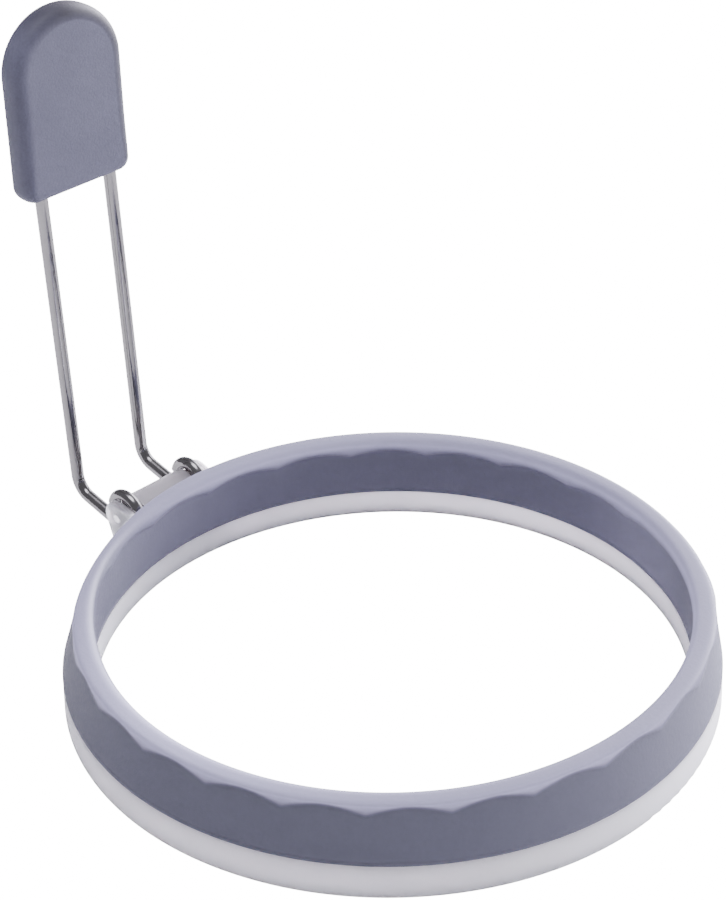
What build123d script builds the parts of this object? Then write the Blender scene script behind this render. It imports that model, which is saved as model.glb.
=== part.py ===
from build123d import *
from math import acos, atan2, cos, degrees, radians, sin, sqrt, tan
import os

# Egg ring: a silicone-topped ring that stands in a pan, with a wire handle that folds in over it.
# Lengths are millimetres and angles are degrees. The axis of the ring is Z, the pan is the plane
# z = 0, and the handle hinges on the +Y side. The model is symmetric about x = 0.

# Band: the pale lower half of the ring, which stands in the pan
ring_bore_radius = 47.6
band_wall = 4.7
band_foot_flare = 0.2
band_outer_height = 6.0
band_inner_height = 4.3
band_foot_round = 0.6

# Tongue: the rib on top of the band that the silicone is moulded around
tongue_setback = 1.15
tongue_thickness = 1.2
tongue_height = 5.6
lock_hole_count = 12
lock_hole_radius = 1.5
lock_hole_rise = 2.8

# Silicone rim: its full-round crown and the scallops under the crown on both sides
rim_wall_height = 7.3
crown_radius = 2.25
crown_setback = 0.85
outer_scallop_count = 26
inner_scallop_count = 22
scallop_top_drop = 0.55
scallop_rise = 0.8
scallop_wall_setback = 0.75
inner_wall_setback = 0.1

# Wire handle: one bent wire with an eye at each end
wire_radius = 1.1
leg_spacing = 14.4
foot_reach = 13.1
foot_rise = 12.5
foot_bend_radius = 3.6
leg_lean = 2.5
eye_turn = 265.0
handle_rise = 91.7

# Hinge: pin, ears, knuckle, the journals that the eyes turn on and the ledge under the wire's feet
hinge_axis_offset = 4.2
hinge_axis_height = 9.0
hinge_pin_radius = 0.9
pin_seat_gap = 0.03
pin_end_chamfer = 0.2
journal_radius = 2.2
journal_eye_gap = 0.08
ear_thickness = 1.0
ear_dome_radius = 3.2
ear_dome_setback = 0.2
ear_root_rise = 1.4
ear_edge_round = 0.3
knuckle_drop = 0.3
ear_side_gap = 0.3
ledge_gap = 0.3
bracket_lift = 1.2
bracket_toe_offset = 4.7

# Grip: the silicone sleeve over the loop of the wire
grip_width = 21.0
grip_thickness = 5.2
grip_length = 30.5
grip_dome_flattening = 0.5
grip_tilt = 2.6
grip_edge_round = 1.4
grip_corner_radius = 2.0
grip_wire_gap = 0.05
grip_cover = 1.6

# One overrun for every cutting tool
overrun = 2.0

# Sizes that follow from the ones above
band_shoulder_radius = ring_bore_radius + band_wall
band_foot_radius = band_shoulder_radius + band_foot_flare
tongue_inner_radius = ring_bore_radius + tongue_setback
tongue_centre_radius = tongue_inner_radius + tongue_thickness / 2
tongue_outer_radius = tongue_inner_radius + tongue_thickness
tongue_top = band_outer_height + tongue_height
crown_centre_radius = ring_bore_radius + crown_setback
crown_outer_radius = crown_centre_radius + crown_radius
crown_inner_radius = crown_centre_radius - crown_radius
crown_centre_height = band_outer_height + rim_wall_height
crown_top = crown_centre_height + crown_radius
rim_foot_inner_radius = ring_bore_radius + inner_wall_setback
scallop_outer_radius = crown_outer_radius - scallop_wall_setback
scallop_inner_radius = crown_inner_radius + scallop_wall_setback
scallop_top_height = crown_top - scallop_top_drop
scallop_cusp_height = scallop_top_height - scallop_rise
outer_scallop_pitch = 360.0 / outer_scallop_count
inner_scallop_pitch = 360.0 / inner_scallop_count

hinge_axis_reach = band_shoulder_radius + hinge_axis_offset
bracket_toe_reach = band_shoulder_radius + bracket_toe_offset
eye_radius = journal_radius + journal_eye_gap + wire_radius
leg_x = leg_spacing / 2
slot_inner_x = leg_x - wire_radius - ear_side_gap
slot_outer_x = leg_x + wire_radius + ear_side_gap
bracket_half_width = slot_outer_x + ear_thickness

# Points and directions of the handle's side view, in the YZ plane
hinge_axis = Vector(0, hinge_axis_reach, hinge_axis_height)
foot_direction = Vector(0, cos(radians(foot_rise)), sin(radians(foot_rise)))
foot_underside = Vector(0, sin(radians(foot_rise)), -cos(radians(foot_rise)))
leg_direction = Vector(0, sin(radians(leg_lean)), cos(radians(leg_lean)))
eye_start = hinge_axis + foot_underside * eye_radius
foot_length = (foot_reach - eye_radius * sin(radians(foot_rise))) / cos(radians(foot_rise))
bend_corner = eye_start + foot_direction * foot_length


# Band and tongue
def make_band():
    """The turned lower ring with its tongue, one L-shaped section."""
    outline = [
        (ring_bore_radius, 0),
        (band_foot_radius, 0),
        (band_shoulder_radius, band_outer_height),
        (tongue_outer_radius, band_outer_height),
        (tongue_outer_radius, tongue_top),
        (tongue_inner_radius, tongue_top),
        (tongue_inner_radius, band_inner_height),
        (ring_bore_radius, band_inner_height),
    ]
    band = revolve(Plane.XZ * make_face(Polyline(*outline, close=True)), Axis.Z)
    foot_edges = band.edges().filter_by(GeomType.CIRCLE).filter_by(lambda e: e.radius > band_shoulder_radius)
    return fillet(foot_edges, band_foot_round)


def make_lock_holes():
    """Radial holes through the tongue that the silicone flows into, none of them behind the hinge."""
    hole_length = tongue_thickness + 2 * overrun
    centre_height = band_outer_height + lock_hole_rise
    hole = Pos(tongue_centre_radius, 0, centre_height) * Rot(0, 90, 0) * Cylinder(lock_hole_radius, hole_length)
    step = 360.0 / lock_hole_count
    return [Rot(0, 0, step * (index + 0.5)) * hole for index in range(lock_hole_count)]


# Hinge bracket
def bracket_outline(dome_radius):
    """Side view of an ear: a dome round the pin, with tangents down to its toe and back into the ring."""
    centre = Vector(hinge_axis_reach - ear_dome_setback, hinge_axis_height)
    toe = Vector(bracket_toe_reach, bracket_lift)
    root_low = Vector(tongue_centre_radius, bracket_lift)
    root_high = Vector(tongue_centre_radius, hinge_axis_height + ear_root_rise)
    to_toe = toe - centre
    to_root = root_high - centre
    toe_angle = degrees(atan2(to_toe.Y, to_toe.X)) + degrees(acos(dome_radius / to_toe.length))
    root_angle = degrees(atan2(to_root.Y, to_root.X)) - degrees(acos(dome_radius / to_root.length))

    def dome_point(angle):
        return centre + Vector(cos(radians(angle)), sin(radians(angle))) * dome_radius

    edges = [
        ThreePointArc(dome_point(toe_angle), dome_point((toe_angle + root_angle) / 2), dome_point(root_angle)),
        Line(dome_point(root_angle), root_high),
        Line(root_high, root_low),
        Line(root_low, toe),
        Line(toe, dome_point(toe_angle)),
    ]
    return Plane.YZ * make_face(edges)


def hinge_cylinder(radius, half_length):
    """A cylinder on the hinge axis, centred on x = 0."""
    return Pos(*hinge_axis) * Rot(0, 90, 0) * Cylinder(radius, 2 * half_length)


def make_bracket_body():
    """The bracket at its full width, with softened edges round both of its end faces."""
    body = Pos(-bracket_half_width, 0, 0) * extrude(bracket_outline(ear_dome_radius), amount=2 * bracket_half_width)
    by_side = body.edges().group_by(Axis.X)
    return fillet(by_side[0] + by_side[-1], ear_edge_round)


def make_above_ledge():
    """The space over the foot of the bracket, whose top slopes just under the wire's feet and eyes."""
    top_point = hinge_axis + foot_underside * (eye_radius + wire_radius + ledge_gap)
    return Pos(*top_point) * Rot(foot_rise, 0, 0) * Box(
        2 * bracket_half_width + 2 * overrun,
        hinge_axis_reach,
        hinge_axis_height + crown_top,
        align=(Align.CENTER, Align.CENTER, Align.MIN),
    )


def make_bracket():
    """Two ears and a knuckle on one ledge, joined by the two journals and rooted in the tongue."""
    body = make_bracket_body()
    ears = body - Pos(*hinge_axis) * Box(2 * slot_outer_x, hinge_axis_reach, 2 * crown_top)
    knuckle_face = bracket_outline(ear_dome_radius - knuckle_drop)
    knuckle = Pos(-slot_inner_x, 0, 0) * extrude(knuckle_face, amount=2 * slot_inner_x)
    journals = hinge_cylinder(journal_radius, slot_outer_x)
    bracket = body - make_above_ledge() + ears + knuckle + journals
    bracket -= Cylinder(tongue_centre_radius, 2 * crown_top)
    return bracket - hinge_cylinder(hinge_pin_radius + pin_seat_gap, bracket_half_width + overrun)


def make_ring_frame():
    """The one rigid moulding: band, tongue and hinge bracket."""
    frame = make_band() - make_lock_holes()
    return frame + make_bracket()


# Silicone rim
def make_rim_blank():
    """The turned rim before its scallops are cut: a wall each side of the tongue and a round crown."""
    crown_outer = (crown_outer_radius, crown_centre_height)
    crown_inner = (crown_inner_radius, crown_centre_height)
    foot_outer = (band_shoulder_radius, band_outer_height)
    step_high = (tongue_centre_radius, band_outer_height)
    step_low = (tongue_centre_radius, band_inner_height)
    foot_inner = (rim_foot_inner_radius, band_inner_height)
    edges = [
        Line(foot_outer, crown_outer),
        ThreePointArc(crown_outer, (crown_centre_radius, crown_top), crown_inner),
        Line(crown_inner, foot_inner),
        Line(foot_inner, step_low),
        Line(step_low, step_high),
        Line(step_high, foot_outer),
    ]
    return revolve(Plane.XZ * make_face(edges), Axis.Z)


def make_scallop_curtain(pitch, first_angle, wall_radius, near_radius, far_radius):
    """A ring of arches: each is a round-topped block on a radius, and neighbours meet in a cusp."""
    half_chord = wall_radius * sin(radians(pitch / 2))
    arch_radius = (half_chord**2 + scallop_rise**2) / (2 * scallop_rise)
    shoulder = half_chord + scallop_rise
    shoulder_height = scallop_top_height - arch_radius + sqrt(arch_radius**2 - shoulder**2)
    base_height = band_inner_height - overrun
    edges = [
        ThreePointArc((-shoulder, shoulder_height), (0, scallop_top_height), (shoulder, shoulder_height)),
        Line((shoulder, shoulder_height), (shoulder, base_height)),
        Line((shoulder, base_height), (-shoulder, base_height)),
        Line((-shoulder, base_height), (-shoulder, shoulder_height)),
    ]
    arch = Pos(near_radius, 0, 0) * extrude(Plane.YZ * make_face(edges), amount=far_radius - near_radius)
    arches = [Rot(0, 0, first_angle + pitch * index) * arch for index in range(round(360.0 / pitch))]
    return arches[0].fuse(*arches[1:])


def make_scallop_shell(foot_radius, foot_height, top_radius, outer_side):
    """The turned space beyond a rim wall that leans from its foot to the top of the scallops."""
    side = overrun if outer_side else -overrun
    outline = [
        (foot_radius, foot_height),
        (top_radius, scallop_top_height),
        (top_radius, crown_top + overrun),
        (foot_radius + side, crown_top + overrun),
        (foot_radius + side, foot_height),
    ]
    return revolve(Plane.XZ * make_face(Polyline(*outline, close=True)), Axis.Z)


def make_outer_scallops():
    """What is cut from the outer wall; an arch is centred on the hinge."""
    far_radius = band_foot_radius + overrun
    curtain = make_scallop_curtain(
        outer_scallop_pitch, 90, scallop_outer_radius, tongue_outer_radius, far_radius
    )
    return curtain & make_scallop_shell(band_shoulder_radius, band_outer_height, scallop_outer_radius, True)


def make_inner_scallops():
    """What is cut from the inner wall; a cusp points at the hinge."""
    near_radius = crown_inner_radius - overrun
    first_angle = 90 + inner_scallop_pitch / 2
    curtain = make_scallop_curtain(
        inner_scallop_pitch, first_angle, scallop_inner_radius, near_radius, tongue_inner_radius
    )
    return curtain & make_scallop_shell(rim_foot_inner_radius, band_inner_height, scallop_inner_radius, False)


def make_silicone_rim(frame):
    """The overmoulded rim: its blank, less the scallops and less all of the frame that it wraps."""
    return make_rim_blank() - make_outer_scallops() - make_inner_scallops() - frame


# Wire handle
def side_arc(x, centre, radius, start_angle, end_angle):
    """An arc in the plane of one leg; angles are counted from +Y towards +Z."""
    angles = [start_angle, (start_angle + end_angle) / 2, end_angle]
    points = [centre + Vector(x, radius * cos(radians(a)), radius * sin(radians(a))) for a in angles]
    return ThreePointArc(*points)


def handle_path():
    """Centre line of the wire, from one eye along its foot, up and over the loop, and back down."""
    bend_turn = 90 - leg_lean - foot_rise
    bend_setback = foot_bend_radius * tan(radians(bend_turn / 2))
    foot_end = bend_corner - foot_direction * bend_setback
    leg_start = bend_corner + leg_direction * bend_setback
    bend_centre = foot_end - foot_underside * foot_bend_radius
    leg_length = (handle_rise - leg_x - leg_start.Z) / leg_direction.Z
    leg_end = leg_start + leg_direction * leg_length
    loop_top = leg_end + leg_direction * leg_x
    right = Vector(leg_x, 0, 0)
    left = -right
    eye_start_angle = foot_rise - 90
    eye_end_angle = eye_start_angle - eye_turn
    return [
        side_arc(leg_x, hinge_axis, eye_radius, eye_end_angle, eye_start_angle),
        Line(right + eye_start, right + foot_end),
        side_arc(leg_x, bend_centre, foot_bend_radius, eye_start_angle, -leg_lean),
        Line(right + leg_start, right + leg_end),
        ThreePointArc(right + leg_end, loop_top, left + leg_end),
        Line(left + leg_end, left + leg_start),
        side_arc(-leg_x, bend_centre, foot_bend_radius, -leg_lean, eye_start_angle),
        Line(left + foot_end, left + eye_start),
        side_arc(-leg_x, hinge_axis, eye_radius, eye_start_angle, eye_end_angle),
    ]


def sweep_wire(radius):
    """A round bar of the given radius along the handle's centre line."""
    path = Wire(handle_path())
    section = Plane(path @ 0, z_dir=path % 0) * Circle(radius)
    return sweep(section, path=path)


def make_wire_handle():
    """The bare bent wire."""
    return sweep_wire(wire_radius)


# Grip
def make_grip():
    """The sleeve over the loop: domed, soft-edged and a little steeper than the legs, bored by the wire."""
    half_width = grip_width / 2
    shoulder = grip_dome_flattening - half_width
    outline = [
        ThreePointArc((half_width, shoulder), (0, 0), (-half_width, shoulder)),
        Line((-half_width, shoulder), (-half_width, -grip_length)),
        Line((-half_width, -grip_length), (half_width, -grip_length)),
        Line((half_width, -grip_length), (half_width, shoulder)),
    ]
    plate = extrude(Plane.XZ * make_face(outline), amount=grip_thickness / 2, both=True)
    corner_edges = plate.edges().filter_by(Axis.Y).group_by(Axis.Z)[0]
    plate = fillet(corner_edges, grip_corner_radius)
    rim_edges = plate.edges().filter_by(lambda e: abs(e.center().Y) > grip_thickness / 2 - grip_wire_gap)
    plate = fillet(rim_edges, grip_edge_round)
    half_length = grip_length / 2
    middle_height = handle_rise + wire_radius + grip_cover - half_length
    middle = bend_corner + leg_direction * ((middle_height - bend_corner.Z) / leg_direction.Z)
    grip = Pos(*middle) * Rot(grip_tilt - leg_lean, 0, 0) * Pos(0, 0, half_length) * plate
    return grip - sweep_wire(wire_radius + grip_wire_gap)


# Hinge pin
def make_hinge_pin():
    """One straight pin through both ears, both journals and the knuckle."""
    pin = hinge_cylinder(hinge_pin_radius, bracket_half_width)
    return chamfer(pin.edges().filter_by(GeomType.CIRCLE), pin_end_chamfer)


def main():
    os.makedirs("parts", exist_ok=True)
    frame = make_ring_frame()
    nodes = {
        "ring_frame": frame,
        "silicone_rim": make_silicone_rim(frame),
        "wire_handle": make_wire_handle(),
        "handle_grip": make_grip(),
        "hinge_pin": make_hinge_pin(),
    }
    for name, shape in nodes.items():
        export_step(shape, f"parts/{name}.step")


main()
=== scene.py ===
import math

import bpy
import numpy as np
from mathutils import Euler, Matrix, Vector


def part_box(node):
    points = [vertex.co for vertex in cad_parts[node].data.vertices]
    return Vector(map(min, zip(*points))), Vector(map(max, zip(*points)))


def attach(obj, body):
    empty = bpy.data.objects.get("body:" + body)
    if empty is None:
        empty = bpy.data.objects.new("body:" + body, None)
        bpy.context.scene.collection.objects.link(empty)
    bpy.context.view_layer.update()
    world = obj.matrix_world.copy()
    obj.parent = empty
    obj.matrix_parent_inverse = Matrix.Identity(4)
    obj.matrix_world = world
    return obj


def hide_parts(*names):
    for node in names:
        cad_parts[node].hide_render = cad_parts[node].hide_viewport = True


# Looks for the egg ring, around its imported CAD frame. Blender units are metres. Mesh code is in mm.
# A turn is an azimuth as a share of a circle: 0 at the hinge (+Y), growing anticlockwise from above.
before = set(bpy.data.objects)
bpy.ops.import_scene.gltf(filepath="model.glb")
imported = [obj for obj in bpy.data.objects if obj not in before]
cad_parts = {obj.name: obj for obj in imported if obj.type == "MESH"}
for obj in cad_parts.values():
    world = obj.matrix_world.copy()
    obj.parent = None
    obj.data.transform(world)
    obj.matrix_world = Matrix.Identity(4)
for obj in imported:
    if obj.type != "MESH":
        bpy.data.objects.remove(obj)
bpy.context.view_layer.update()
MM = 0.001

# Heights and radii shared with the solids
BAND_TOP = 6.0
BAND_INNER_TOP = 4.3
BAND_RADIUS = 52.3
RIM_FOOT_INNER = 47.7
TONGUE_OUTER = 49.95
TONGUE_INNER = 48.75
TONGUE_TOP = 11.6
TONGUE_GAP = 0.02

# Scallops: counts, phases in pitches, and the turn round which the inner ones show
RIM_STEPS = 1716
OUTER_SCALLOPS = 26
INNER_SCALLOPS = 22
OUTER_PHASE = 0.087
INNER_PHASE = 0.75
CUSP_SOFTNESS = 0.08
SHOWN_TURN = 0.93
SHOWN_RANGE = 0.35

# Rim profile: each crown is half width, fullness, drop at the arches and drop at the cusps
CROWN_RADIUS = 48.45
CROWN_TOP = 15.4
CROWN_HEIGHT = 2.4
OUTER_CROWN = (1.95, 5.0, 0.37, 1.6)
INNER_CROWN = (2.25, 2.6, 1.45, 2.25)
EDGE_DROP = 0.9

# Rim walls: top radius, top height, foot radius and foot height
OUTER_WALL = (49.95, 15.0, BAND_RADIUS, BAND_TOP)
INNER_WALL = (46.95, 15.0, RIM_FOOT_INNER, BAND_INNER_TOP)

# Where a side of the crown is narrower, or wider if the amount is negative: turn, spread in turns, amount
OUTER_SLIM = ((0.075, 0.058, 1.1), (0.61, 0.07, -0.7))
INNER_SLIM = ((0.075, 0.058, 0.9), (0.6, 0.1, 0.9))
SLIM_SLACK = 0.2

# Points along one side of the rim, and which of them are softened, how often
CROWN_POINTS = 18
EDGE_POINTS = 8
WALL_POINTS = 12
WALL_CROWDING = 1.2
SOFTENED = (14, 28)
OUTER_SOFTENING = 7
INNER_SOFTENING = 4

# Rim tone, painted light and shade: 0 is the darkest silicone colour and 1 the lightest. The crown is painted
# lighter than the walls where light from above falls, steep shoulders lighter or darker by how they turn to
# the lights, and crown and walls lighter or darker round the ring. Shades are turn, spread in turns and
# amount.
CROWN_TONE = 0.5
CROWN_SHADES = ((0.25, 0.085, 0.2),)
OUTER_WALL_TONE = 0.2
INNER_WALL_TONE = 0.4
INNER_WALL_SHADES = ((0.12, 0.07, -0.35), (0.7, 0.055, 0.22))
FOOT_TONE = 0.35
TONE_FADE = (14, 21)
INNER_SHADED_TURN = 0.772
OUTER_SHADED_TURN = INNER_SHADED_TURN + 0.5
SHADE_CONTRAST = 0.75
SHOULDER_DIM = 0.2
INNER_DIM_SHADES = ((0.15, 0.075, 0.4),)
SHOULDER_GAIN = 0.5
SHOULDER_TILT = 0.35
LEAST_LEVEL = 0.1
STEEP_RANGE = 2
RIM_PAINTED_SHADING = (
    (0.0, (0.052, 0.051, 0.08)),
    (0.2, (0.112, 0.114, 0.15)),
    (0.5, (0.154, 0.151, 0.215)),
    (1.0, (0.405, 0.396, 0.55)),
)

# Grip: each edge is its width at the bottom and at the top
GRIP_DOME = 10.0
GRIP_DEPTH = 2.6
GRIP_EDGE_FRONT = (1.9, 2.5)
GRIP_EDGE_BACK = (1.4, 1.5)
GRIP_EDGE_START = 2
GRIP_EDGE_CHANGE = 8
GRIP_EDGE_FULLNESS = 2.5
GRIP_SWELL = 0.45
GRIP_CORNER = 2.0
GRIP_SPINE_START = 2
GRIP_DOME_POINTS = 61
GRIP_SIDE_POINTS = 22
GRIP_CORNER_POINTS = 13
GRIP_FOOT_POINTS = 26
GRIP_EDGE_POINTS = 17
GRIP_FACE_SHARES = (0.04, 0.12, 0.24, 0.4, 0.6, 0.8, 0.96)

# Grip tone, painted shade: 0 on the faces, left side and foot, the side tone on the right side, and 1 on the
# top, where the rounded edge is painted darkest
GRIP_SIDE_TONE = 0.8
GRIP_TONE_GAIN = 1.25
GRIP_TONE_FALL = 0.35
GRIP_PAINTED_SHADE = ((0.0, (0.116, 0.118, 0.161)), (1.0, (0.024, 0.023, 0.032)))


# Mesh helpers
def mesh_object(name, vertices, faces):
    """A smooth-shaded mesh object from points in mm and lists of corner numbers."""
    mesh = bpy.data.meshes.new(name)
    mesh.from_pydata((np.asarray(vertices) * MM).tolist(), [], faces)
    mesh.polygons.foreach_set("use_smooth", [True] * len(mesh.polygons))
    mesh.update()
    made = bpy.data.objects.new(name, mesh)
    bpy.context.scene.collection.objects.link(made)
    return made


def store_painted_shading(piece, values):
    """Keeps one number for each vertex, which the silicone reads as its tone of painted light and shade."""
    attribute = piece.data.attributes.new("tone", "FLOAT", "POINT")
    attribute.data.foreach_set("value", np.asarray(values, np.float32))


def smoothstep(t):
    t = np.clip(t, 0, 1)
    return t * t * (3 - 2 * t)


def bells(turn, places):
    """The sum at one turn of some amounts, each full at its own turn and falling off on both sides."""
    total = 0.0
    for centre, width, amount in places:
        away = (turn - centre + 0.5) % 1 - 0.5
        total += amount * math.exp(-(away / width) ** 2)
    return total


# Rim
def scallop_law(phase):
    """0 at the middle of each arch and 1 at each cusp, with a slightly softened point."""
    v = 2 * np.abs(phase - np.round(phase))
    s = CUSP_SOFTNESS
    high = math.sqrt(1 + s * s)
    return (high - np.sqrt((1 - v * v) ** 2 + s * s)) / (high - s)


def wall_radius(wall, z):
    r_top, z_top, r_foot, z_foot = wall
    return r_top + (r_foot - r_top) * (z_top - z) / (z_top - z_foot)


def rim_side(crown, drop, wall, side, slim):
    """Points (radius, height) down one side of the rim at one turn: crown, soft edge, wall.

    The wall moves with a wider crown, and with a narrower one by what it loses past the slack.
    """
    half_width, fullness = crown[0] - slim, crown[1]
    wall = (wall[0] - side * (max(0, slim - SLIM_SLACK) + min(0, slim)), *wall[1:])
    power = 2 / fullness
    end = math.acos((1 - drop / CROWN_HEIGHT) ** (1 / power))
    points = []
    for angle in np.linspace(0, end, CROWN_POINTS):
        out = half_width * math.sin(angle) ** power
        down = CROWN_HEIGHT * (1 - math.cos(angle) ** power)
        points.append((CROWN_RADIUS + side * out, CROWN_TOP - down))
    edge_radius, edge_height = points[-1]
    overhang = edge_radius - wall_radius(wall, edge_height)
    for t in np.linspace(0, 1, EDGE_POINTS + 1)[1:]:
        z = edge_height - EDGE_DROP * t
        points.append((wall_radius(wall, z) + overhang * (1 - smoothstep(t)), z))
    last = points[-1][1]
    for t in np.linspace(0, 1, WALL_POINTS + 1)[1:] ** WALL_CROWDING:
        z = last + (wall[3] - last) * t
        points.append((wall_radius(wall, z), z))
    return np.array(points)


def soften(points, passes):
    """Moves the points round the shoulder of a profile towards their neighbours."""
    points = points.copy()
    first, last = SOFTENED
    for _ in range(passes):
        middle = (points[:-2] + points[2:]) / 2
        points[first:last] = (points[first:last] + middle[first - 1:last - 1]) / 2
    return points


def side_painted_shading(points, turn, shaded_turn, wall, dim):
    """Painted light and shade of each point of one side: the crown, its shoulder where it turns down, then
    the wall.
    """
    steps = np.diff(points, axis=0)
    level = np.abs(steps[:, 0]) / np.hypot(steps[:, 0], steps[:, 1])
    level = np.append(level, level[-1])
    tilt = np.sqrt(1 - level * level)
    shade = smoothstep(0.5 + SHADE_CONTRAST * math.cos(2 * math.pi * (turn - shaded_turn)))
    lost = (1 + SHOULDER_GAIN * shade * smoothstep(tilt / SHOULDER_TILT)) / np.maximum(level, LEAST_LEVEL)
    steep = np.clip((lost - 1) / STEEP_RANGE, 0, 1)
    top = CROWN_TONE + bells(turn, CROWN_SHADES)
    # Steep shoulders turned from the lights get painted light, those turned to them painted shade.
    tone = np.clip(top + steep * (shade * (1 - top) - (1 - shade) * dim), 0, 1)
    tone = wall + (tone - wall) * np.interp(np.arange(len(points)), TONE_FADE, [1, 0])
    tone[-1] = FOOT_TONE
    return tone


def outer_side(turn):
    """Profile and tones of the outer side of the rim at one turn."""
    drop = np.interp(scallop_law(turn * OUTER_SCALLOPS + OUTER_PHASE), [0, 1], OUTER_CROWN[2:])
    profile = rim_side(OUTER_CROWN, drop, OUTER_WALL, 1, bells(turn, OUTER_SLIM))
    profile = soften(profile, OUTER_SOFTENING)
    return profile, side_painted_shading(profile, turn, OUTER_SHADED_TURN, OUTER_WALL_TONE, SHOULDER_DIM)


def inner_side(turn):
    """The same for the inner side; its scallops fade out towards the near half, which hides them."""
    shown = smoothstep(math.cos(2 * math.pi * (turn - SHOWN_TURN)) / SHOWN_RANGE)
    scallop = shown * scallop_law(turn * INNER_SCALLOPS + INNER_PHASE)
    drop = np.interp(scallop, [0, 1], INNER_CROWN[2:])
    profile = rim_side(INNER_CROWN, drop, INNER_WALL, -1, bells(turn, INNER_SLIM))
    profile = soften(profile, INNER_SOFTENING)
    # Painted light and shade on the inner wall and its shoulder, lighter or darker round the ring
    wall = INNER_WALL_TONE + bells(turn, INNER_WALL_SHADES)
    dim = SHOULDER_DIM + bells(turn, INNER_DIM_SHADES)
    return profile, side_painted_shading(profile, turn, INNER_SHADED_TURN, wall, dim)


def make_rim():
    groove = np.array([
        (TONGUE_OUTER + TONGUE_GAP, BAND_TOP),
        (TONGUE_OUTER + TONGUE_GAP, TONGUE_TOP + TONGUE_GAP),
        (TONGUE_INNER - TONGUE_GAP, TONGUE_TOP + TONGUE_GAP),
        (TONGUE_INNER - TONGUE_GAP, BAND_INNER_TOP),
    ])
    vertices = []
    tones = []
    for index in range(RIM_STEPS):
        turn = index / RIM_STEPS
        outside, outside_tone = outer_side(turn)
        inside, inside_tone = inner_side(turn)
        section = np.concatenate([inside[:0:-1], outside, groove])
        tones.append(np.concatenate([inside_tone[:0:-1], outside_tone, np.zeros(len(groove))]))
        angle = math.pi / 2 + 2 * math.pi * turn
        x = section[:, 0] * math.cos(angle)
        y = section[:, 0] * math.sin(angle)
        vertices.append(np.stack([x, y, section[:, 1]], axis=1))
    count = len(vertices[0])
    faces = []
    for index in range(RIM_STEPS):
        here = index * count
        there = (index + 1) % RIM_STEPS * count
        for k in range(count):
            after = (k + 1) % count
            faces.append((here + k, here + after, there + after, there + k))
    made = mesh_object("rim", np.concatenate(vertices), faces)
    store_painted_shading(made, np.concatenate(tones))
    return made


# Grip
def arc(centre, radii, start, end, count):
    """Points of an elliptical arc, with its angles in half turns."""
    angles = np.linspace(start * math.pi, end * math.pi, count)
    return [(centre[0] + radii[0] * math.cos(a), centre[1] + radii[1] * math.sin(a)) for a in angles]


def grip_outline(half, length):
    """The front outline of the grip in its own plane, as points and outward directions, anticlockwise."""
    inside, low = half - GRIP_CORNER, GRIP_CORNER - length
    corner = (GRIP_CORNER, GRIP_CORNER)
    side = np.linspace(-GRIP_DOME, low, GRIP_SIDE_POINTS)[1:]
    points = arc((0, -GRIP_DOME), (half, GRIP_DOME), 0, 1, GRIP_DOME_POINTS)
    points += [(-half, v) for v in side]
    points += arc((-inside, low), corner, 1, 1.5, GRIP_CORNER_POINTS)[1:]
    points += [(u, -length) for u in np.linspace(-inside, inside, GRIP_FOOT_POINTS)[1:]]
    points += arc((inside, low), corner, 1.5, 2, GRIP_CORNER_POINTS)[1:]
    points += [(half, v) for v in side[::-1][1:]]
    points = np.array(points)
    along = np.roll(points, -1, axis=0) - np.roll(points, 1, axis=0)
    along /= np.linalg.norm(along, axis=1)[:, None]
    return points, np.stack([along[:, 1], -along[:, 0]], axis=1)


def grip_half(points, out, spine, edge):
    """Rings (outline, depth) from the middle plane of the grip over its round edge and across its face."""
    power = 2 / GRIP_EDGE_FULLNESS
    rings = []
    for angle in np.linspace(0, math.pi / 2, GRIP_EDGE_POINTS):
        inset = edge * (1 - math.cos(angle) ** power)
        rings.append((points - out * inset[:, None], GRIP_DEPTH * math.sin(angle) ** power))
    last = rings[-1][0]
    for share in GRIP_FACE_SHARES:
        rings.append((last + (spine - last) * share, GRIP_DEPTH))
    return rings


def grip_painted_shade(out):
    """Painted shade of each ring of one half, from the middle plane to the face, at each outward direction:
    darker on the rounded top and right edges.
    """
    facing = np.clip(out[:, 0] * GRIP_SIDE_TONE + out[:, 1], 0, 1)
    bend = np.cos(np.linspace(0, math.pi / 2, GRIP_EDGE_POINTS))
    edge = np.clip(GRIP_TONE_GAIN * bend ** GRIP_TONE_FALL, 0, 1)
    return np.outer(np.concatenate([edge, np.zeros(len(GRIP_FACE_SHARES))]), facing)


def make_grip():
    low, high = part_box("handle_grip")
    half = (high.x - low.x) / MM / 2
    length = (high.z - low.z) / MM
    points, out = grip_outline(half, length)
    spine_height = np.clip(points[:, 1], -length + half - GRIP_SPINE_START, -half)
    spine = np.stack([np.zeros(len(points)), spine_height], axis=1)
    points = points + out * GRIP_SWELL
    rise = smoothstep((points[:, 1] + length - GRIP_EDGE_START) / GRIP_EDGE_CHANGE)
    front = grip_half(points, out, spine, np.interp(rise, [0, 1], GRIP_EDGE_FRONT))
    back = grip_half(points, out, spine, np.interp(rise, [0, 1], GRIP_EDGE_BACK))
    stack = [(ring, -depth) for ring, depth in front[::-1]] + back[1:]
    vertices = []
    for ring, depth in stack:
        vertices.append(np.stack([ring[:, 0], np.full(len(ring), depth), ring[:, 1]], axis=1))
    count = len(points)
    faces = []
    for level in range(len(stack) - 1):
        here = level * count
        for k in range(count):
            after = (k + 1) % count
            faces.append((here + k, here + after, here + count + after, here + count + k))
    faces.append(tuple(range(count))[::-1])
    faces.append(tuple(range((len(stack) - 1) * count, len(stack) * count)))
    middle_y = (high.y + low.y) / MM / 2
    made = mesh_object("grip", np.concatenate(vertices) + [0, middle_y, high.z / MM], faces)
    tone = grip_painted_shade(out)
    store_painted_shading(made, np.concatenate([tone[::-1], tone[1:]]).ravel())
    return made


# Material nodes. Noise mostly lies between these two values.
NOISE_LOW = 0.3
NOISE_HIGH = 0.7


def material(name):
    made = bpy.data.materials.new(name)
    made.use_nodes = True
    nodes = made.node_tree.nodes
    return made, nodes, made.node_tree.links, nodes["Principled BSDF"]


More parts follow.
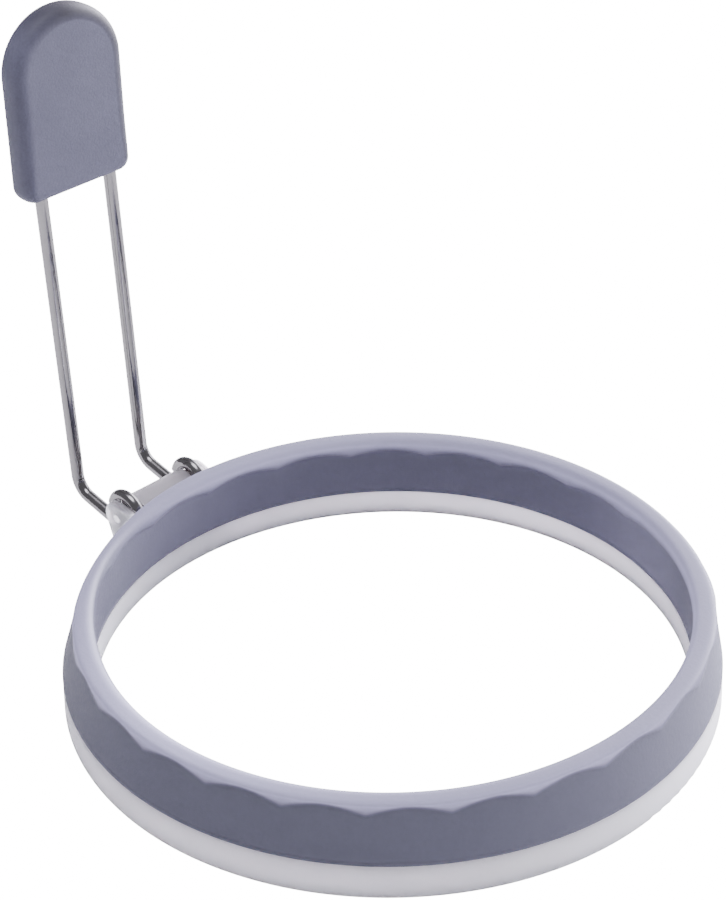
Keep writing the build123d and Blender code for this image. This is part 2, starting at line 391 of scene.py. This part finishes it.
def object_noise(nodes, links, scale, detail=2.0, roughness=0.5):
    """Noise in the piece's own rest coordinates; scale is in ripples per metre."""
    place = nodes.new("ShaderNodeTexCoord")
    noise = nodes.new("ShaderNodeTexNoise")
    noise.inputs["Scale"].default_value = scale
    noise.inputs["Detail"].default_value = detail
    noise.inputs["Roughness"].default_value = roughness
    links.new(place.outputs["Object"], noise.inputs["Vector"])
    return noise.outputs["Fac"]


def map_range(nodes, links, source, before, after, kind="LINEAR"):
    """Maps one range of a value on to another and holds it there."""
    node = nodes.new("ShaderNodeMapRange")
    node.interpolation_type = kind
    node.inputs["From Min"].default_value = before[0]
    node.inputs["From Max"].default_value = before[1]
    node.inputs["To Min"].default_value = after[0]
    node.inputs["To Max"].default_value = after[1]
    links.new(source, node.inputs["Value"])
    return node.outputs["Result"]


def spread(nodes, links, noise, limits):
    """Maps noise on to a range."""
    return map_range(nodes, links, noise, (NOISE_LOW, NOISE_HIGH), limits)


def rising(nodes, links, value, start, end):
    """0 below the start value, 1 above the end value, with a soft change between them."""
    return map_range(nodes, links, value, (start, end), (0, 1), "SMOOTHSTEP")


def falling(nodes, links, value, start, end):
    """1 below the start value, 0 above the end value, with a soft change between them."""
    return map_range(nodes, links, value, (start, end), (1, 0), "SMOOTHSTEP")


def ramp(nodes, links, source, stops):
    """Colours placed along a 0 to 1 value."""
    node = nodes.new("ShaderNodeValToRGB")
    elements = node.color_ramp.elements
    while len(elements) < len(stops):
        elements.new(0.5)
    for element, (position, colour) in zip(elements, stops):
        element.position = position
        element.color = (*colour, 1)
    links.new(source, node.inputs["Fac"])
    return node.outputs["Color"]


def two_tone(nodes, links, noise, dark, light):
    """Noise as a colour between two others."""
    return ramp(nodes, links, noise, ((NOISE_LOW, dark), (NOISE_HIGH, light)))


def add_bump(nodes, links, shader, height, strength, distance):
    bump = nodes.new("ShaderNodeBump")
    bump.inputs["Strength"].default_value = strength
    bump.inputs["Distance"].default_value = distance
    links.new(height, bump.inputs["Height"])
    links.new(bump.outputs["Normal"], shader.inputs["Normal"])


def stored_painted_shading(nodes):
    attribute = nodes.new("ShaderNodeAttribute")
    attribute.attribute_name = "tone"
    return attribute.outputs["Fac"]


def object_part(nodes, links, axis):
    """One of the piece's own rest coordinates, in metres."""
    place = nodes.new("ShaderNodeTexCoord")
    split = nodes.new("ShaderNodeSeparateXYZ")
    links.new(place.outputs["Object"], split.inputs["Vector"])
    return split.outputs[axis]


def connect(links, socket, value):
    """Sets a socket to a number or colour, or links it to another node's output."""
    if isinstance(value, (int, float)):
        socket.default_value = value
    elif isinstance(value, tuple):
        socket.default_value = (*value, 1)
    else:
        links.new(value, socket)


def calculate(nodes, links, operation, *values):
    node = nodes.new("ShaderNodeMath")
    node.operation = operation
    for socket, value in zip(node.inputs, values):
        connect(links, socket, value)
    return node.outputs["Value"]


def mixed(nodes, links, factor, first, second, kind="MIX"):
    """Two colours mixed. The node's inputs 0, 6 and 7 are its factor and colours, and output 2 its colour."""
    node = nodes.new("ShaderNodeMix")
    node.data_type = "RGBA"
    node.blend_type = kind
    for socket, value in ((0, factor), (6, first), (7, second)):
        connect(links, node.inputs[socket], value)
    return node.outputs[2]


# Materials: noise scales in ripples per metre, roughness from low to high, bump strength and depth in metres
RIM_GRAIN = 1800.0
RIM_VARIATION = 0.04
GRIP_GRAIN = 2600.0
GRIP_VARIATION = 0.12
SILICONE_CLOUD = 90.0
SILICONE_ROUGHNESS = (0.5, 0.62)
SILICONE_SPECULAR = 0.2
SILICONE_BUMP = (0.25, 0.0001)

BAND_CLOUD = 60.0
BAND_GRAIN = 1500.0
BAND_PALE = ((0.88, 0.848, 0.97), (0.91, 0.878, 0.99))
# Painted shade: the dark colour laid on the bracket's knuckle and ear tops
BRACKET_PAINTED_SHADE = (0.2, 0.19, 0.2)
BAND_SCATTER = (1.0, 0.95, 0.95)
BAND_SCATTER_DEPTH = 0.01
BAND_ROUGHNESS = (0.32, 0.42)
BAND_BUMP = (0.1, 0.00005)
# Where that painted shade fades in, in metres: across the bracket, in height and back from the front
BRACKET_SIDE = (0.0083, 0.0086)
BRACKET_TOP = (0.0108, 0.0118)
BRACKET_FRONT = (0.0524, 0.0532)

METAL_CLOUD = 400.0
METAL_GRAIN = 2500.0
METAL_DARK_SHARE = 0.93
METAL_BUMP = (0.05, 0.00002)
WIRE_COLOUR = (0.25, 0.245, 0.24)
WIRE_ROUGHNESS = (0.1, 0.18)
PIN_COLOUR = (0.98, 0.98, 0.98)
PIN_ROUGHNESS = (0.12, 0.2)

FLOOR_COLOUR = (0.7, 0.7, 0.7, 1)
FLOOR_ROUGHNESS = 0.9


def silicone(name, grain, variation, tones):
    """Matt silicone with a fine grain; its colour follows the tone of painted light and shade that the mesh
    stores.
    """
    made, nodes, links, shader = material(name)
    cloud = object_noise(nodes, links, SILICONE_CLOUD, detail=3.0)
    fine = object_noise(nodes, links, grain, roughness=0.6)
    faint = (1 - variation,) * 3
    mottle = two_tone(nodes, links, cloud, faint, (1, 1, 1))
    speck = two_tone(nodes, links, fine, faint, (1, 1, 1))
    colour = ramp(nodes, links, stored_painted_shading(nodes), tones)
    colour = mixed(nodes, links, 1.0, colour, mottle, "MULTIPLY")
    links.new(mixed(nodes, links, 1.0, colour, speck, "MULTIPLY"), shader.inputs["Base Color"])
    links.new(spread(nodes, links, fine, SILICONE_ROUGHNESS), shader.inputs["Roughness"])
    shader.inputs["Specular IOR Level"].default_value = SILICONE_SPECULAR
    add_bump(nodes, links, shader, fine, *SILICONE_BUMP)
    return made


def pearl_plastic():
    """Pale, slightly translucent moulding, with painted shade darkening the knuckle and the tops of the ears.
    """
    made, nodes, links, shader = material("pearl_plastic")
    cloud = object_noise(nodes, links, BAND_CLOUD)
    fine = object_noise(nodes, links, BAND_GRAIN)
    pale = two_tone(nodes, links, cloud, *BAND_PALE)
    x = calculate(nodes, links, "ABSOLUTE", object_part(nodes, links, "X"))
    middle = falling(nodes, links, x, *BRACKET_SIDE)
    top = rising(nodes, links, object_part(nodes, links, "Z"), *BRACKET_TOP)
    behind = rising(nodes, links, object_part(nodes, links, "Y"), *BRACKET_FRONT)
    # Painted shade on the knuckle between the ears and on the ear tops, behind the band
    painted_shade_mask = calculate(nodes, links, "MULTIPLY", behind, calculate(nodes, links, "MAXIMUM", middle, top))
    links.new(mixed(nodes, links, painted_shade_mask, pale, BRACKET_PAINTED_SHADE), shader.inputs["Base Color"])
    shader.inputs["Subsurface Weight"].default_value = 1.0
    shader.inputs["Subsurface Radius"].default_value = BAND_SCATTER
    shader.inputs["Subsurface Scale"].default_value = BAND_SCATTER_DEPTH
    links.new(spread(nodes, links, cloud, BAND_ROUGHNESS), shader.inputs["Roughness"])
    add_bump(nodes, links, shader, fine, *BAND_BUMP)
    return made


def bare_metal(name, base, roughness):
    """Polished metal, a little uneven in colour and gloss."""
    made, nodes, links, shader = material(name)
    cloud = object_noise(nodes, links, METAL_CLOUD)
    fine = object_noise(nodes, links, METAL_GRAIN, detail=1.0)
    dark = [part * METAL_DARK_SHARE for part in base]
    links.new(two_tone(nodes, links, cloud, dark, base), shader.inputs["Base Color"])
    shader.inputs["Metallic"].default_value = 1.0
    links.new(spread(nodes, links, cloud, roughness), shader.inputs["Roughness"])
    add_bump(nodes, links, shader, fine, *METAL_BUMP)
    return made


def dress(piece, made):
    piece.data.materials.clear()
    piece.data.materials.append(made)


# Pieces
rim = make_rim()
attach(rim, "ring")
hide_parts("silicone_rim")
dress(rim, silicone("rim_silicone_look", RIM_GRAIN, RIM_VARIATION, RIM_PAINTED_SHADING))

grip = make_grip()
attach(grip, "handle")
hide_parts("handle_grip")
dress(grip, silicone("grip_silicone_look", GRIP_GRAIN, GRIP_VARIATION, GRIP_PAINTED_SHADE))

dress(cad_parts["ring_frame"], pearl_plastic())
dress(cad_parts["wire_handle"], bare_metal("polished_wire", WIRE_COLOUR, WIRE_ROUGHNESS))
dress(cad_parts["hinge_pin"], bare_metal("pin_steel", PIN_COLOUR, PIN_ROUGHNESS))

# Floor: it throws light on the pieces, and the camera sees the white backdrop instead
FLOOR_HALF = 600
FLOOR_DROP = 0.2


def make_floor():
    corners = [(-1, -1), (1, -1), (1, 1), (-1, 1)]
    places = [(x * FLOOR_HALF, y * FLOOR_HALF, 0) for x, y in corners]
    floor = mesh_object("floor", places, [(0, 1, 2, 3)])
    look, _, _, shader = material("floor_look")
    shader.inputs["Base Color"].default_value = FLOOR_COLOUR
    shader.inputs["Roughness"].default_value = FLOOR_ROUGHNESS
    floor.data.materials.append(look)
    floor.location.z = -FLOOR_DROP * MM
    floor.visible_camera = False


make_floor()

# Studio: soft patches of light, as azimuth, elevation, core, edge and strength, angles in degrees
SOFT_LIGHTS = [
    (-20, 8, 8, 28, 20.0),
    (10, 8, 8, 28, 48.0),
    (40, 8, 8, 28, 12.0),
    (130, 8, 8, 28, 1.3),
    (-55, 8, 8, 28, 1.6),
    (0, 90, 6, 22, 23.0),
]
REFLECTED_LIGHTS = [
    (10, 12, 8, 30, 5.0),
    (0, 90, 8, 25, 6.0),
]
REFLECTED_ROOM = 0.35
LIGHT_TINT = (0.98, 0.955, 1.08)
BACKDROP = 16.5


def soft_light(nodes, links, azimuth, elevation, core, edge, strength):
    """Light from one part of the sky, which fades out from its core to its edge."""
    bearing, rise = math.radians(azimuth), math.radians(elevation)
    flat = math.cos(rise)
    dot = nodes.new("ShaderNodeVectorMath")
    dot.operation = "DOT_PRODUCT"
    dot.inputs[1].default_value = (math.cos(bearing) * flat, math.sin(bearing) * flat, math.sin(rise))
    links.new(nodes.new("ShaderNodeTexCoord").outputs["Generated"], dot.inputs[0])
    cosines = (math.cos(math.radians(edge)), math.cos(math.radians(core)))
    return map_range(nodes, links, dot.outputs["Value"], cosines, (0, strength), "SMOOTHSTEP")


def background(nodes, links, colour, patches, plain=0.0):
    """A sky of one plain strength, with patches of light added to it."""
    total = plain
    for patch in patches:
        total = calculate(nodes, links, "ADD", total, soft_light(nodes, links, *patch))
    node = nodes.new("ShaderNodeBackground")
    node.inputs["Color"].default_value = (*colour, 1)
    connect(links, node.inputs["Strength"], total)
    return node.outputs["Background"]


def choose(nodes, links, factor, first, second):
    node = nodes.new("ShaderNodeMixShader")
    links.new(factor, node.inputs["Fac"])
    links.new(first, node.inputs[1])
    links.new(second, node.inputs[2])
    return node.outputs["Shader"]


def make_world():
    """Soft lights for the pieces, calmer ones for reflections, and a plain white backdrop for the camera."""
    world = bpy.data.worlds.new("studio")
    bpy.context.scene.world = world
    world.use_nodes = True
    nodes = world.node_tree.nodes
    links = world.node_tree.links
    nodes.clear()
    rays = nodes.new("ShaderNodeLightPath").outputs
    studio = background(nodes, links, LIGHT_TINT, SOFT_LIGHTS)
    mirrored = background(nodes, links, LIGHT_TINT, REFLECTED_LIGHTS, REFLECTED_ROOM)
    white = background(nodes, links, (1, 1, 1), [], BACKDROP)
    seen = choose(nodes, links, rays["Is Glossy Ray"], studio, mirrored)
    seen = choose(nodes, links, rays["Is Camera Ray"], seen, white)
    out = nodes.new("ShaderNodeOutputWorld")
    links.new(seen, out.inputs["Surface"])


make_world()

# Camera, fitted to the photograph: place in metres, angles in degrees
CAMERA_PLACE = (-0.20927835, -0.20913738, 0.22520472)
CAMERA_ANGLES = (58.29450412, 1.19823963, -45.01852373)
FOCAL_LENGTH = 92.0
SENSOR_WIDTH = 36.0
NEAR_CLIP = 0.01


def make_camera():
    lens = bpy.data.cameras.new("camera")
    lens.sensor_fit = "AUTO"
    lens.sensor_width = SENSOR_WIDTH
    lens.lens = FOCAL_LENGTH
    lens.clip_start = NEAR_CLIP
    camera = bpy.data.objects.new("camera", lens)
    camera.location = CAMERA_PLACE
    camera.rotation_euler = Euler([math.radians(angle) for angle in CAMERA_ANGLES])
    bpy.context.scene.collection.objects.link(camera)
    bpy.context.scene.camera = camera


make_camera()
